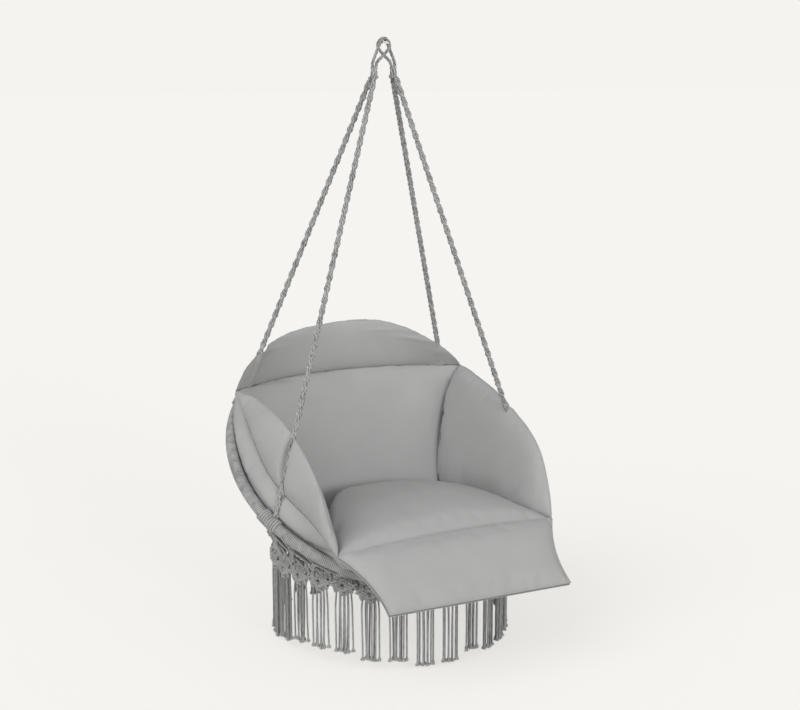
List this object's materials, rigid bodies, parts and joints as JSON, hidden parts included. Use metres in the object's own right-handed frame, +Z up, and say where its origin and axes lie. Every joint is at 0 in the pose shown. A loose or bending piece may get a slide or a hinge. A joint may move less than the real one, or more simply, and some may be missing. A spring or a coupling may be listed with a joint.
{
  "type": "hammock chair",
  "caption": "Hanging macrame hammock chair with two cord-wrapped hoops, a sewn pad with side wings, collar and front flap, four ropes and a tassel fringe.",
  "frame": {"origin": "centre of the hook rod that the chair hangs on, inside the thimble", "axes": "+Z up, the front of the chair and its flap towards -Y, +X to the right seen from the front"},
  "size_m": [0.8274, 0.8054, 1.4661],
  "materials": {
    "cord": "matte grey cotton and polyester cord",
    "pad": "matte mid-grey woven cover over a soft filling",
    "tube": "satin grey paint, hidden by the cord",
    "thimble": "smooth bright steel"
  },
  "bodies": {
    "hook_rest": {"hook_thimble": "thimble"},
    "loops": {"left_eye": "cord", "right_eye": "cord"},
    "chair": {"left_binding": "cord", "right_binding": "cord", "front_left_rope": "cord", "back_left_rope": "cord", "front_right_rope": "cord", "back_right_rope": "cord", "front_left_hitch": "cord", "back_left_hitch": "cord", "front_right_hitch": "cord", "back_right_hitch": "cord", "back_hoop_tube": "tube", "back_hoop_wrap": "cord", "seat_hoop_tube": "tube", "seat_hoop_wrap": "cord", "shell_net": "cord", "seat_net": "cord", "back_cushion": "pad", "left_wing": "pad", "right_wing": "pad", "seat_cushion": "pad", "head_collar": "pad", "tassel_01": "cord", "tassel_02": "cord", "tassel_03": "cord", "tassel_04": "cord", "tassel_05": "cord", "tassel_06": "cord", "tassel_07": "cord", "tassel_08": "cord", "tassel_09": "cord", "tassel_10": "cord", "tassel_11": "cord", "tassel_12": "cord", "tassel_13": "cord", "tassel_14": "cord", "tassel_15": "cord", "tassel_16": "cord", "tassel_17": "cord", "tassel_18": "cord", "tassel_19": "cord", "tassel_20": "cord", "tassel_21": "cord", "tassel_22": "cord", "tassel_23": "cord", "tassel_24": "cord", "tassel_25": "cord", "tassel_26": "cord", "tassel_27": "cord", "tassel_28": "cord"},
    "flap": {"front_flap": "pad"}
  },
  "joints": [
    {"name": "sway_sideways", "type": "hinge", "parent": "hook_rest", "child": "loops", "pos_m": [0, 0, 0], "axis": [0, 1, 0], "range_deg": [-15, 15]},
    {"name": "swing_fore_aft", "type": "hinge", "parent": "loops", "child": "chair", "pos_m": [0, 0, -0.066], "axis": [1, 0, 0], "range_deg": [-30, 30]},
    {"name": "flap_lift", "type": "hinge", "parent": "chair", "child": "flap", "pos_m": [0, -0.318, -1.151], "axis": [-1, 0, 0], "range_deg": [0, 75]}
  ]
}
